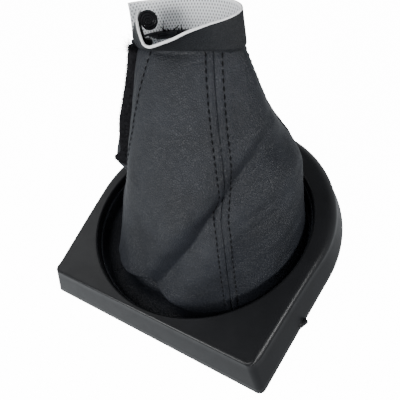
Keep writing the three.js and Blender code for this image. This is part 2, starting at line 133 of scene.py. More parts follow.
# Surround: one satin black injection moulding with a D-shaped plan and a leaning wall, hollow underneath. A
# skirt hangs down around its round hole and carries the gaiter. The top edge is rounder at the round end.

round_radius, flat_width, corner_radius = 87.0, 150.0, 4.0
foot_z, top_z, wall, top_wall, wall_lean = 2.0, 23.5, 2.2, 2.6, 6.3
round_edge, side_edge, flat_edge, hole_edge = 7.2, 3.8, 1.5, 1.2
edge_change = (-25, 45)   # along -Y: where the top edge's rounding starts and ends to shrink
hole_radius, hole_y = 71.0, -7.0
skirt_wall, skirt_foot, skirt_middle = 1.8, 8.5, 12.0
chamfer, foot_chamfer = 0.3, 0.25


def smooth(x, a, b):
    """Rises from 0 at a to 1 at b with level ends: 3 t squared less 2 t cubed."""
    t = np.clip((x - a) / (b - a), 0, 1)
    return t * t * (3 - 2 * t)


def blend(a, b, t):
    """The value a share t of the way from a to b."""
    return a + (b - a) * t


def plan_points(inset, part, t):
    """Points of the plan set in by `inset`. part numbers its stretches (0 right corner, 1 right side, 2
    round end, 3 left side, 4 left corner, 5 flat side) and t runs from 0 to 1 in each. The sides touch the
    circle of the round end, and arcs join them to the flat side."""
    radius = round_radius - inset
    corner_x = flat_width / 2 - inset
    touch = np.arctan2(-radius, corner_x) + np.arccos(np.clip(radius / np.hypot(corner_x, radius), -1, 1))
    touch_x, touch_y = radius * np.cos(touch), radius * np.sin(touch)
    run = np.hypot(touch_x - corner_x, touch_y + radius)
    along_x, along_y = (touch_x - corner_x) / run, (touch_y + radius) / run
    half = np.arccos(-along_x) / 2
    inward = np.hypot(along_x - 1, along_y)
    centre_x = corner_x + (along_x - 1) / inward * corner_radius / np.sin(half)
    centre_y = -radius + along_y / inward * corner_radius / np.sin(half)
    cut = corner_radius / np.tan(half)
    mirrored = part >= 3
    s = np.where((part == 3) | (part == 4), 1 - t, t)
    arc = blend(-np.pi / 2, touch, s)
    side_x, side_y = blend(corner_x + along_x * cut, touch_x, s), blend(-radius + along_y * cut, touch_y, s)
    turn = blend(touch, np.pi - touch, s)
    round_x, round_y = radius * np.cos(turn), radius * np.sin(turn)
    corner = (part == 0) | (part == 4)
    side = (part == 1) | (part == 3)
    x = np.where(corner, centre_x + corner_radius * np.cos(arc), np.where(side, side_x, round_x))
    y = np.where(corner, centre_y + corner_radius * np.sin(arc), np.where(side, side_y, round_y))
    x = np.where(mirrored, -x, x)
    flat = part == 5
    return np.where(flat, blend(-centre_x, centre_x, s), x), np.where(flat, -radius, y)


def ring_faces(rows, columns, closed_rows):
    """Quads between neighbouring rows of a grid whose columns run in a closed loop."""
    i, j = np.meshgrid(np.arange(rows if closed_rows else rows - 1), np.arange(columns), indexing="ij")
    here, next_row = i * columns, (i + 1) % rows * columns
    after = (j + 1) % columns
    return np.stack([here + j, here + after, next_row + after, next_row + j], -1).reshape(-1, 4)


def make_piece(name, points, faces, materials, index=None, cloth=None):
    """A smooth mesh object from points in mm and quads. index picks each face's material, and cloth is a
    place on the flat cloth for each point, in metres, which the knitted material reads."""
    mesh = bpy.data.meshes.new(name)
    points = np.asarray(points, float).reshape(-1, 3) * 0.001
    faces = np.asarray(faces)
    mesh.vertices.add(len(points))
    mesh.vertices.foreach_set("co", points.ravel())
    mesh.loops.add(faces.size)
    mesh.loops.foreach_set("vertex_index", faces.ravel())
    mesh.polygons.add(len(faces))
    mesh.polygons.foreach_set("loop_start", np.arange(len(faces)) * faces.shape[1])
    mesh.update(calc_edges=True)
    mesh.validate()
    for material in materials:
        mesh.materials.append(material)
    if index is not None:
        mesh.polygons.foreach_set("material_index", np.asarray(index, np.int32).ravel())
    mesh.polygons.foreach_set("use_smooth", np.ones(len(mesh.polygons), bool))
    if cloth is not None:
        layer = mesh.attributes.new("cloth", "FLOAT_VECTOR", "POINT")
        flat = np.zeros((len(points), 3), np.float32)
        flat[:, :2] = np.asarray(cloth, float).reshape(-1, 2)
        layer.data.foreach_set("vector", flat.ravel())
    piece = bpy.data.objects.new(name, mesh)
    bpy.context.collection.objects.link(piece)
    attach(piece, "root")
    return piece


def surround_points():
    """The wall's section carried around the plan. A row is a height and either an inset from the plan's foot
    line or a distance from the hole's centre. The outer edge is a quarter round whose radius changes along
    the plan."""
    counts = ((0, 14), (1, 40), (2, 330), (3, 40), (4, 14), (5, 110))
    part = np.concatenate([np.full(n, p) for p, n in counts])[None]
    t = np.concatenate([np.arange(n) / n for _, n in counts])[None]
    foot_x, foot_y = plan_points(np.zeros_like(t), part, t)
    distance = np.hypot(foot_x, foot_y - hole_y)
    out_x, out_y = foot_x / distance, (foot_y - hole_y) / distance
    is_flat = smooth(-foot_y, round_radius - 2 * corner_radius, round_radius - corner_radius / 2)
    edge = blend(blend(round_edge, side_edge, smooth(-foot_y, *edge_change)), flat_edge, is_flat)

    def on_hole(radius, z):
        radius, z = np.reshape(radius, (-1, 1)), np.reshape(z, (-1, 1))
        return np.stack([out_x * radius, hole_y + out_y * radius, z + 0 * out_x], -1)

    def on_plan(inset, z, least=0.0):
        inset, z = np.broadcast_arrays(inset, z)
        x, y = plan_points(inset, np.broadcast_to(part, inset.shape), np.broadcast_to(t, inset.shape))
        reach = np.hypot(x, y - hole_y)
        grown = np.maximum(reach, least) / reach
        return np.stack([x * grown, hole_y + (y - hole_y) * grown, z], -1)

    def lean(z):
        return wall_lean * (z - foot_z) / (top_z - foot_z)

    turn = np.radians(np.linspace(0, 90, 9))
    lip = on_hole(hole_radius + hole_edge * (1 - np.cos(turn)), top_z - hole_edge * (1 - np.sin(turn)))
    round_turn = np.radians(np.linspace(90, 0, 17))[:, None]
    round_z = top_z - edge * (1 - np.sin(round_turn))
    round_inset = lean(top_z - edge) + edge * (1 - np.cos(round_turn))
    outer_edge = on_plan(round_inset, round_z, hole_radius + hole_edge + chamfer)
    share = np.linspace(0, 1, 12)[1:-1, None, None]
    top = blend(lip[-1:], outer_edge[:1], share)
    wall_top = outer_edge[-1:]
    foot_outer = on_plan(0 * edge + foot_chamfer, 0 * edge + foot_z)
    foot_rim = on_plan(0 * edge, 0 * edge + foot_z + chamfer)
    outer_wall = blend(wall_top, foot_rim, np.linspace(0, 1, 7)[1:, None, None])
    foot_inner = on_plan(0 * edge + wall - foot_chamfer, 0 * edge + foot_z)
    under = top_z - top_wall
    beside_skirt = hole_radius + skirt_wall + 2 * chamfer
    inner_top = on_plan(lean(under) + wall + edge / 4, 0 * edge + under, beside_skirt)
    inner_wall = blend(foot_inner, inner_top, np.array([0.05, 0.97, 1])[:, None, None])
    skirt_outer = on_hole([hole_radius + skirt_wall] * 2, [under, skirt_foot + chamfer])
    skirt_end = on_hole([hole_radius + skirt_wall - chamfer, hole_radius + chamfer], [skirt_foot, skirt_foot])
    skirt_inner = on_hole([hole_radius] * 3, [skirt_foot + chamfer, skirt_middle, top_z - hole_edge - 0.4])
    return np.concatenate([skirt_inner, lip, top, outer_edge, outer_wall, foot_outer, foot_inner, inner_wall,
                           skirt_outer, skirt_end])


def bump_chain(tree, shader, height, distance, strength):
    """Feeds a height into the shader's normal through a Bump node. distance is its range in metres."""
    bump = tree.nodes.new("ShaderNodeBump")
    bump.inputs["Distance"].default_value = distance
    bump.inputs["Strength"].default_value = strength
    tree.links.new(height, bump.inputs["Height"])
    tree.links.new(bump.outputs["Normal"], shader.inputs["Normal"])


def noise(tree, place, scale, detail, output="Fac"):
    """A Noise node on that coordinate. scale is in cells a metre."""
    node = tree.nodes.new("ShaderNodeTexNoise")
    node.inputs["Scale"].default_value = scale
    node.inputs["Detail"].default_value = detail
    tree.links.new(place, node.inputs["Vector"])
    return node.outputs[output]


def shaded_between(tree, factor, dark, light):
    """A colour between two, by a factor from 0 to 1."""
    mix = tree.nodes.new("ShaderNodeMix")
    mix.data_type = "RGBA"
    mix.inputs["A"].default_value = (*dark, 1)
    mix.inputs["B"].default_value = (*light, 1)
    tree.links.new(factor, mix.inputs["Factor"])
    return mix.outputs["Result"]


def new_material(name):
    """A node material and its tree, principled shader and Object coordinate."""
    material = bpy.data.materials.new(name)
    material.use_nodes = True
    tree = material.node_tree
    place = tree.nodes.new("ShaderNodeTexCoord").outputs["Object"]
    return material, tree, tree.nodes["Principled BSDF"], place


satin_plastic, tree, shader, place = new_material("satin_black_plastic")
cloudy = spread_between(tree, noise(tree, place, 55, 4), 0, 1)
black = shaded_between(tree, cloudy, (0.0085, 0.0088, 0.0100), (0.0115, 0.0120, 0.0137))
tree.links.new(black, shader.inputs["Base Color"])
tree.links.new(spread_between(tree, noise(tree, place, 160, 3), 0.30, 0.36), shader.inputs["Roughness"])
shader.inputs["Specular IOR Level"].default_value = 0.30
bump_chain(tree, shader, noise(tree, place, 2600, 2), 0.00004, 0.5)

points = surround_points()
faces = ring_faces(*points.shape[:2], True)[:, ::-1]
surround = make_piece("surround_moulding", points, faces, [satin_plastic])
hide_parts("surround_frame")


# Locating lugs: three little tongues of the same moulding at the foot of the wall, right, left and at the
# round end. They drop 2 mm below it into slots of the console, and their lower ends are sloped.

lug_width, lug_height, lug_wall, lug_slope = 6.0, 5.0, 2.2, 1.2
lug_places = ((81.6, -44.6), (-81.6, -44.6), (0, 86.1))


def lug_points(x, y):
    """A slope-ended section carried across the lug's width as closed loops, drawn in a little at both ends
    and shrunk to its middle there. Its first measure points inwards and its second up."""
    inner, outer = 0.8 * lug_wall, -0.2 * lug_wall
    section = np.array([
        (0.1, 0), (inner - 0.16, 0), (inner, 0.2), (inner, lug_height - 0.1), (inner - 0.16, lug_height),
        (outer + 0.14, lug_height), (outer, lug_height - 0.2), (outer, lug_slope)])
    middle = section.mean(0)
    stations = np.array([(-0.5, 0.0), (-0.5, 0.9), (-0.46, 1), (0.46, 1), (0.5, 0.9), (0.5, 0.0)])
    loop = middle + (section - middle) * stations[:, 1, None, None]
    across = np.broadcast_to(stations[:, 0, None] * lug_width, loop.shape[:2])
    turn = np.arctan2(y, x)
    out = -loop[..., 0]
    return np.stack([x + out * np.cos(turn) - across * np.sin(turn),
                     y + out * np.sin(turn) + across * np.cos(turn), loop[..., 1]], -1)


def copies_faces(count, rows, columns):
    """Quads of `count` grids of that size whose points follow one another."""
    one = ring_faces(rows, columns, False)
    return (one[None] + (np.arange(count) * rows * columns)[:, None, None]).reshape(-1, 4)


points = np.stack([lug_points(x, y) for x, y in lug_places])
faces = copies_faces(*points.shape[:3])[:, ::-1]
lugs = make_piece("locating_lugs", points, faces, [satin_plastic])
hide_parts("surround_frame")


# Leather body: four panels of black synthetic leather with a white knitted back, sewn from the hole's skirt
# up to the collar. It leans right and back, sags inside the hole, and a long fold runs across its front.

leather_wall, seam_gap, hem_gap = 1.1, 0.5, 0.02
foot_height, join_height, hem_foot = 14.0, 129.0, 8.8
foot_gap, trough, hem_height, hem_share = 13.0, 9.0, 9.0, 0.75
join_place, join_half, join_turn, flare = (8.6, 14.0), (27.4, 9.5), np.radians(2), 0.86
seams_at_foot = np.radians([-128, -47, 45, 137, 232])
seams_at_join = np.radians([-148, -54, 33, 125, 212])
slit_bottom, front_allowance, rear_allowance, around_length = 0.43, 4.6, 1.0, 260.0
body_rise = join_height - foot_height
foot_swellings = (   # mm out, direction and half-width in degrees
    (8, 10, 60), (5, -60, 40), (-12, 195, 38), (7, -118, 26))
bellies = (   # mm out, direction and half-width in degrees, height and half-height
    (6, (20, 60), (0.35, 0.25)), (2.6, (42, 40), (0.50, 0.14)))
pads = (   # mm out, place around and half-width, height and half-height
    (5, (0.165, 0.07), (0.46, 0.2)), (1, (0.02, 0.05), (0.06, 0.05)), (1, (1.02, 0.05), (0.06, 0.05)))
front_swing, undercut, seam_ridge = np.radians(5), 7.0, 1.6
mouth_front, collar_dip, collar_rise, mouth_pinch = (0.19, 0.12), 0.3, 3.1, 1.5
fold_line = np.array([   # around, up, valley depth, half-width, crease depth, swelling above and below
    (0.100, 0.030, 3.6, 6.0, 0.8, 1.6, 1.0), (0.131, 0.100, 3.6, 5.6, 1.0, 2.0, 1.4),
    (0.150, 0.168, 3.4, 5.4, 1.1, 2.4, 1.6), (0.176, 0.263, 3.0, 5.0, 1.3, 2.4, 1.6),
    (0.205, 0.360, 2.8, 4.8, 1.8, 2.4, 1.6), (0.230, 0.438, 2.8, 4.6, 2.4, 2.2, 1.6),
    (0.244, 0.498, 2.6, 4.6, 2.4, 2.0, 1.8), (0.268, 0.556, 2.6, 5.2, 1.6, 1.6, 1.8),
    (0.312, 0.610, 2.6, 6.0, 0.9, 1.2, 1.8), (0.354, 0.630, 2.4, 6.6, 0.6, 1.0, 2.2),
    (0.400, 0.605, 2.4, 6.8, 0.5, 0.8, 2.4), (0.456, 0.558, 2.2, 6.5, 0.5, 0.8, 2.4)])


def hump(x, centre, width):
    """A bell around the centre: e to the minus square of the distance over the width."""
    return np.exp(-(((x - centre) / width) ** 2))


def turn_hump(turn, centre, width):
    """The same bell for a direction in radians, with its centre and width in degrees."""
    away = np.mod(turn - np.radians(centre) + np.pi, 2 * np.pi) - np.pi
    return np.exp(-((away / np.radians(width)) ** 2))


def fold_depth(u, v):
    """How far the long fold pushes the leather out or in: a bell-shaped valley across its curved line on the
    opened-out body, between two bell-shaped swellings, faded out past the line's ends. The line is averaged
    over four near places. A sharp crease falls off with the distance from it, and its upper side is the
    steep one."""
    stations = fold_line[:, 0]
    depth, width, sharp, above, below = (np.interp(u, stations, fold_line[:, k]) for k in range(2, 7))
    line = sum(np.interp(u + shift, stations, fold_line[:, 1]) for shift in (-0.01, -0.004, 0.004, 0.01)) / 4
    slope = np.interp(u, stations, np.gradient(fold_line[:, 1], stations)) * body_rise / around_length
    across = (line - v) * body_rise / np.sqrt(1 + slope ** 2)
    fade = smooth(u, 0.095, 0.125) * (1 - smooth(u, 0.43, 0.50))
    swell = above * hump(across, -11, 8) + below * hump(across, 12, 9)
    crease = depth * hump(across, 0, width) + sharp * np.exp(-np.abs(across) / np.where(across > 0, 5.5, 2.6))
    return fade * (swell - crease)


def direction(u, v):
    """Direction from the axis at (u, v): straight between the seams' directions at the foot and at the join,
    and turned up to 5 degrees where the front seam gives way over the fold."""
    panel = np.clip(np.floor(u * 4), 0, 3).astype(int)
    share = u * 4 - panel
    low = blend(seams_at_foot[panel], seams_at_foot[panel + 1], share)
    high = blend(seams_at_join[panel], seams_at_join[panel + 1], share)
    return blend(low, high, v) + front_swing * smooth(v, 0.42, 0.56) * hump(u, 0.25, 0.10)


bulge_edge = np.array([   # around, up: where the leather turns under at the bottom
    (0, 0.055), (0.05, 0.065), (0.085, 0.090), (0.112, 0.112), (0.121, 0.057), (0.143, 0.040),
    (0.172, 0.012), (0.2, -0.03), (0.88, -0.03), (0.93, 0.05), (1, 0.055)])


def collar_line(u):
    """Height of the collar's sewn edge above the join, in mm: it rises at the front."""
    return collar_rise * hump(u, *mouth_front) - collar_dip


def body_surface(u, v):
    """Grain face of the leather. Between v 0 and 1 it runs from a swelling foot line to the flattened oval
    of the join, flaring by a power of the height left, and bellies, pads and the fold push it out along its
    direction. Above 1 it stands nearly straight up. Below 0 a cubic curve sags down and out to the skirt,
    then rises as the hem."""
    u, v = np.broadcast_arrays(np.asarray(u, float), np.asarray(v, float))
    height = np.clip(v, 0, 1)
    turn = direction(u, height)
    left = (1 - height) ** flare
    foot = hole_radius - foot_gap + sum(size * turn_hump(turn, *spread) for size, *spread in foot_swellings)
    oval = turn - join_turn
    oval_x, oval_y = join_half[0] * np.cos(oval), join_half[1] * np.sin(oval)
    join_x = join_place[0] + oval_x * np.cos(join_turn) - oval_y * np.sin(join_turn)
    join_y = join_place[1] + oval_x * np.sin(join_turn) + oval_y * np.cos(join_turn)
    closed = 1 - smooth(v, slit_bottom - 0.05, slit_bottom + 0.02)
    push = fold_depth(u, height) * smooth(height, -0.02, 0.08)
    push = push + seam_ridge * (hump(u, 0, 0.008) + hump(u, 1, 0.008)) * closed
    push = push + sum(size * turn_hump(turn, *spread) * hump(height, *rise) for size, spread, rise in bellies)
    push = push + sum(size * hump(u, *spread) * hump(height, *rise) for size, spread, rise in pads)
    edge = np.interp(np.mod(u, 1), *bulge_edge.T)
    push = push * (1 - smooth(height, 0.9, 1))
    push = push - undercut * (1 - smooth(height, edge - 0.05, edge + 0.012)) * smooth(edge, -0.03, 0.02)
    x = blend(join_x, foot * np.cos(turn), left) + np.cos(turn) * push
    y = blend(join_y, hole_y + foot * np.sin(turn), left) + np.sin(turn) * push
    over = np.clip(v - 1, 0, None) * body_rise
    z = foot_height + body_rise * height + over
    inward = mouth_pinch * (1 - np.exp(-over / 2.2)) * hump(u, *mouth_front)
    x, y = x - inward * np.cos(turn), y - inward * np.sin(turn)

    start, facing = np.hypot(x, y - hole_y), np.arctan2(y - hole_y, x)
    hem_radius = hole_radius - hem_gap - leather_wall
    t = np.clip(-v / hem_share, 0, 1)
    pulls = (1 - t) ** 3, 3 * t * (1 - t) ** 2, 3 * t * t * (1 - t), t ** 3
    radius = pulls[0] * start + pulls[1] * blend(start, hem_radius, 0.1) + (pulls[2] + pulls[3]) * hem_radius
    sag_z = (pulls[0] * foot_height + pulls[1] * (foot_height - trough) + pulls[2] * (hem_foot - 0.8 * trough)
             + pulls[3] * hem_foot + hem_height * np.clip((-v - hem_share) / (1 - hem_share), 0, 1))
    below = v < 0
    return np.stack([np.where(below, radius * np.cos(facing), x),
                     np.where(below, hole_y + radius * np.sin(facing), y), np.where(below, sag_z, z)], -1)


tape_wall, hook_gap, seam_slack = 1.0, 0.3, 1.2
tuck_drop = 2 * tape_wall + leather_wall + 3 * hook_gap + seam_slack
bulge_low, bulge_high, bulge_spread = 13.0, 2.8, (0.935, 0.034)


def rear_left_surface(u, v):
    """The leather moved level, square to its outline: it bulges beside the open seam, then dives under the
    front left panel by the two tapes' thickness."""
    u, v = np.broadcast_arrays(np.asarray(u, float), np.asarray(v, float))
    height = np.clip(v, 0, 1)
    bulge = blend(bulge_low, bulge_high, smooth(height, slit_bottom - 0.03, 0.95)) * hump(u, *bulge_spread)
    opened = smooth(height, slit_bottom - 0.06, slit_bottom + 0.02)
    tuck = opened * (bulge - tuck_drop * smooth(u, 0.948, 0.985))
    run = body_surface(u + 1e-4, v) - body_surface(u - 1e-4, v)
    length = np.maximum(np.hypot(run[..., 0], run[..., 1]), 1e-9)
    level = np.stack([run[..., 1], -run[..., 0]], -1) / length[..., None]
    points = body_surface(u, v)
    points[..., :2] += level * tuck[..., None]
    return points


def normals(surface, u, v):
    """Unit normals, from the cross product of the surface's steps along u and v."""
    along = surface(u + 1e-4, v) - surface(u - 1e-4, v)
    up = surface(u, v + 1e-4) - surface(u, v - 1e-4)
    square = np.cross(along, up)
    return square / np.maximum(np.linalg.norm(square, axis=-1, keepdims=True), 1e-12)


edge_steps = 4


def sheet_grid(outer, inner):
    """A closed sheet from its two faces: each row is a loop along the outer face, round the edge on a half
    circle, back along the inner face and round the other edge. Returns the points and the kind of each
    column of faces: 0 on the outer face, 1 at the far edge, 2 on the inner face, 3 at the near edge."""
    turn = np.linspace(0, np.pi, edge_steps + 2)[1:-1][:, None]

    def edge(face, back, beside):
        middle, reach, out = (face + back) / 2, (face - back) / 2, face - beside
        out *= np.linalg.norm(reach, axis=-1, keepdims=True) / np.linalg.norm(out, axis=-1, keepdims=True)
        return middle[:, None] + reach[:, None] * np.cos(turn) + out[:, None] * np.sin(turn)

    far = edge(outer[:, -1], inner[:, -1], outer[:, -2])
    near = edge(inner[:, 0], outer[:, 0], inner[:, 1])
    n = outer.shape[1]
    kinds = np.repeat([0, 1, 2, 3], [n - 1, edge_steps + 1, n - 1, edge_steps + 1])
    return np.concatenate([outer, far, inner[:, ::-1], near], 1), kinds


def end_caps(rows, columns, n):
    """Quads that close the first and last row of a sheet grid whose two faces have n columns."""
    j = np.arange(n - 1)
    across = np.stack([j, columns - edge_steps - 1 - j, columns - edge_steps - 2 - j, j + 1], -1)
    k = np.arange(edge_steps // 2)
    far = np.stack([n - 1 + k, n + edge_steps - k, n + edge_steps - 1 - k, n + k], -1)
    near = np.stack([(columns - k) % columns, columns - edge_steps - 1 + k, columns - edge_steps + k,
                     columns - 1 - k], -1)
    first = np.concatenate([across, far, near])
    return np.concatenate([first, first[:, ::-1] + (rows - 1) * columns])


def around_sheet(values):
    """Values on a sheet's face, repeated for every point of its sheet grid."""
    far, near = (np.repeat(values[:, k], edge_steps, 1) for k in (slice(-1, None), slice(0, 1)))
    return np.concatenate([values, far, values[:, ::-1], near], 1)


def cloth_place(outer):
    """Place on the flat cloth for each point of a sheet grid: the length along its row from the middle, and
    the length up the middle column."""
    step = np.linalg.norm(np.diff(outer, axis=1), axis=-1)
    run = np.concatenate([np.zeros((len(outer), 1)), np.cumsum(step, 1)], 1)
    rise = np.linalg.norm(np.diff(outer[:, outer.shape[1] // 2], axis=0), axis=-1)
    up = np.broadcast_to(np.concatenate([[0], np.cumsum(rise)])[:, None], run.shape)
    return around_sheet(np.stack([run - run[:, run.shape[1] // 2, None], up], -1) * 0.001)


def make_sheet(name, outer, inner, materials, index=None, end_index=0, cloth=None):
    """A closed sheet between its two faces. index turns the kinds of the columns of faces into each face's
    material, and end_index is the material of the two ends."""
    points, kinds = sheet_grid(outer, inner)
    rows, columns = points.shape[:2]
    sides, ends = ring_faces(rows, columns, False), end_caps(rows, columns, outer.shape[1])
    if index is not None:
        side_index = np.broadcast_to(index(kinds), (rows - 1, columns)).ravel()
        index = np.concatenate([side_index, np.full(len(ends), end_index)])
    return make_piece(name, points, np.concatenate([sides, ends]), materials, index, cloth)


def stretch(surface, u, v):
    """Millimetres around the body for one turn of u, at (u, v)."""
    return np.linalg.norm(surface(u + 1e-3, v) - surface(u - 1e-3, v), axis=-1) / 2e-3


stitch_pitch, stitch_margin = 3.4, 3.7
slit_row = np.array([   # up, around: the row that holds the hook tape, from the slit's end to the collar
    (0.40, 0.004), (0.43, 0.007), (0.47, 0.0135), (0.52, 0.020), (0.56, 0.0265), (0.63, 0.0365),
    (0.68, 0.042), (0.73, 0.047), (0.78, 0.051), (0.85, 0.057), (0.91, 0.063), (0.95, 0.068),
    (0.99, 0.072), (1.02, 0.074)])


def slit_row_place(v):
    """How far around the slit's stitch row lies at the height v."""
    return np.interp(v, slit_row[:, 0], slit_row[:, 1])


def sewn_relief(surface, u, v, first, last):
    """What sewing does to the grain face, in mm: the leather rolls down into each seam, stands up over the
    folded allowance as far as the stitch row, dips under the row and puckers between the stitches."""
    relief = np.zeros(np.broadcast(u, v).shape)
    length = v * body_rise * 1.04
    pucker = np.cos(2 * np.pi * length / stitch_pitch)
    row_dip = 0.46 + 0.10 * pucker
    for seam in (first, last):
        away = np.abs(u - seam) * stretch(surface, np.clip(u, first + 0.002, last - 0.002), v)
        if seam in (0, 1):
            closed = 1 - smooth(v, slit_bottom - 0.03, slit_bottom + 0.01)
            relief = relief - 0.25 * hump(away, 0, 1.0) * closed
            continue
        pad = 0.40 * (1 - smooth(away, stitch_margin - 0.6, stitch_margin + 1.5)) - 0.28 * hump(away, 0, 1.0)
        puckered = 0.07 * pucker * (hump(away, stitch_margin, 2.2) - hump(away, 0.8, 1.0))
        relief = relief + pad - row_dip * hump(away, stitch_margin, 0.66) + puckered
    if first == 0:
        scale = stretch(surface, np.clip(u, 0.004, 0.24), v)
        inside = (u - slit_row_place(v)) * scale
        opened = smooth(v, slit_bottom - 0.04, slit_bottom + 0.03)
        pad = 0.45 * (1 - smooth(inside, -0.4, 1.6)) + 0.06 * pucker * hump(inside, 0, 2.4)
        folded_edge = 0.20 * hump(u * scale, 4.6 * smooth(v, 0.45, 0.7) + 0.2, 0.7)
        relief = relief + opened * (pad - row_dip * hump(inside, 0, 0.66) - folded_edge)
    return relief


wrinkles = np.array([   # around, up, lean in degrees, half-length, half-width, height in mm (out or in)
    (0.075, 0.555, 20, 6, 0.9, 0.30), (0.085, 0.545, 14, 5, 0.8, -0.22), (0.065, 0.535, 8, 5, 0.9, 0.25),
    (0.300, 0.430, 8, 17, 2.0, -0.30), (0.325, 0.385, 4, 20, 2.2, -0.32), (0.345, 0.330, 6, 19, 2.4, -0.32),
    (0.315, 0.290, 12, 15, 2.0, -0.25), (0.290, 0.245, 16, 13, 1.8, -0.25),
    (0.355, 0.215, 0, 16, 2.2, -0.22), (0.150, 0.620, -40, 14, 2.6, 0.28),
    (0.120, 0.480, -60, 16, 2.8, -0.25), (0.185, 0.560, -70, 14, 2.4, 0.25),
    (0.205, 0.480, -62, 12, 2.0, -0.25), (0.160, 0.330, -65, 15, 2.6, 0.30),
    (0.095, 0.300, -85, 18, 3.0, -0.25), (0.060, 0.200, -80, 16, 2.4, 0.25),
    (0.120, 0.780, 84, 22, 3.4, 0.22), (0.175, 0.820, 88, 20, 3.0, -0.20),
    (0.300, 0.800, 84, 16, 2.6, -0.25), (0.350, 0.850, 70, 15, 2.2, 0.22),
    (0.390, 0.700, 20, 16, 3.0, -0.45), (0.420, 0.450, 4, 18, 3.0, -0.35),
    (0.440, 0.280, 12, 20, 3.2, -0.35), (0.560, 0.500, -30, 20, 3.4, -0.40),
    (0.620, 0.300, 12, 22, 3.6, 0.45), (0.660, 0.620, 60, 20, 3.0, -0.35),
    (0.700, 0.200, -10, 18, 3.0, -0.40), (0.800, 0.300, 8, 20, 3.2, 0.40),
    (0.840, 0.520, -50, 20, 3.0, -0.40), (0.880, 0.220, 4, 14, 1.8, -0.55), (0.890, 0.160, 2, 14, 1.6, 0.50),
    (0.870, 0.120, -3, 14, 1.6, -0.55), (0.850, 0.800, 84, 20, 2.8, 0.25)])


def small_wrinkles(u, v):
    """Soft creases, each a bell across its line times a bell along it, and long low waves from sines."""
    relief = np.zeros(np.broadcast(u, v).shape)
    for at_u, at_v, lean, half_length, half_width, high in wrinkles:
        x, y = (u - at_u) * around_length, (v - at_v) * body_rise
        c, s = np.cos(np.radians(lean)), np.sin(np.radians(lean))
        bent = -x * s + y * c + 0.012 * (x * c + y * s) ** 2
        relief = relief + high * hump(bent, 0, half_width) * hump(x * c + y * s, 0, half_length)
    waves = (0.22 * np.sin(41 * u + 9 * v + 1.0) * np.sin(13 * v + 5 * u) + 0.12 * np.sin(83 * u - 31 * v)
             * np.sin(37 * v + 11 * u + 2.0))
    return relief + waves * smooth(v, 0, 0.1) * (1 - smooth(v, 0.9, 1))


def trimmed_allowance(u):
    """The share of the top allowance that is left: it is cut down where the collar hangs open."""
    return blend((collar_line(u) + 1.1) / front_allowance, 1, smooth(np.where(u > 0.5, 1, u), 0.17, 0.22))


def panel_grid(surface, first, last, allowance, reach=None, columns=140):
    """Grids of u and v for one panel, closer together near its two edges. It stops half a seam gap and its
    own edge's rounding short of each seam. reach is how far its last edge runs past the seam, by height."""
    over = np.linspace(0.2, 1, 6) * allowance / body_rise
    v = np.concatenate([np.linspace(-1, -0.04, 26), np.linspace(0, 1, 196), 1 + over])
    short = seam_gap / 2 + leather_wall / 2 - blend(0.31, 0.22, smooth(v, -0.7, -0.6))
    start = first + short / stretch(surface, np.full_like(v, first + 0.002), v)
    end = last - short / stretch(surface, np.full_like(v, last - 0.002), v)
    if reach is not None:
        end = end + reach(v)
    t = np.linspace(0, 1, columns)
    t = blend(t, (1 - np.cos(np.pi * t)) / 2, 0.55)
    u = blend(start[:, None], end[:, None], t[None])
    return u, np.where(v[:, None] > 1, 1 + (v[:, None] - 1) * trimmed_allowance(u), v[:, None])


def overlap_share(v):
    """0 where the left seam is closed, 1 where its edges overlap."""
    return smooth(v, slit_bottom + 0.035, slit_bottom + 0.1)


def grain_relief(surface, u, v, first, last):
    """Sewing and wrinkles together, faded out on the hidden sag and under the collar."""
    relief = sewn_relief(surface, u, v, first, last) + small_wrinkles(u, v)
    top = 1 + collar_line(u) / body_rise
    return relief * smooth(v, -0.15, 0.05) * (1 - smooth(v, top - 0.02, top - 0.002))


def make_panel(name, surface, first, last, node, allowance, reach=None):
    """One panel: the worked grain face, the plain back 1.1 mm behind it, rounded cut edges, and the dark
    allowance that ends inside the collar, 3 mm high on the back and lower near the open seam."""
    u, v = panel_grid(surface, first, last, allowance, reach)
    plain, square = surface(u, v), normals(surface, u, v)
    relief = grain_relief(surface, u, v, first, last)
    outer = plain + square * relief[..., None]
    inner = plain - square * leather_wall + square * np.minimum(relief, 0)[..., None] * 0.8
    dark = blend(3.4, 0.8, smooth(around_sheet(u), 0.79, 0.84))
    knitted = (around_sheet(v) < 1 + (allowance - dark) / body_rise)[:-1]
    piece = make_sheet(name, outer, inner, [grained_leather, white_knit],
                       lambda kinds: (kinds == 2) & knitted, cloth=cloth_place(outer))
    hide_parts(node)


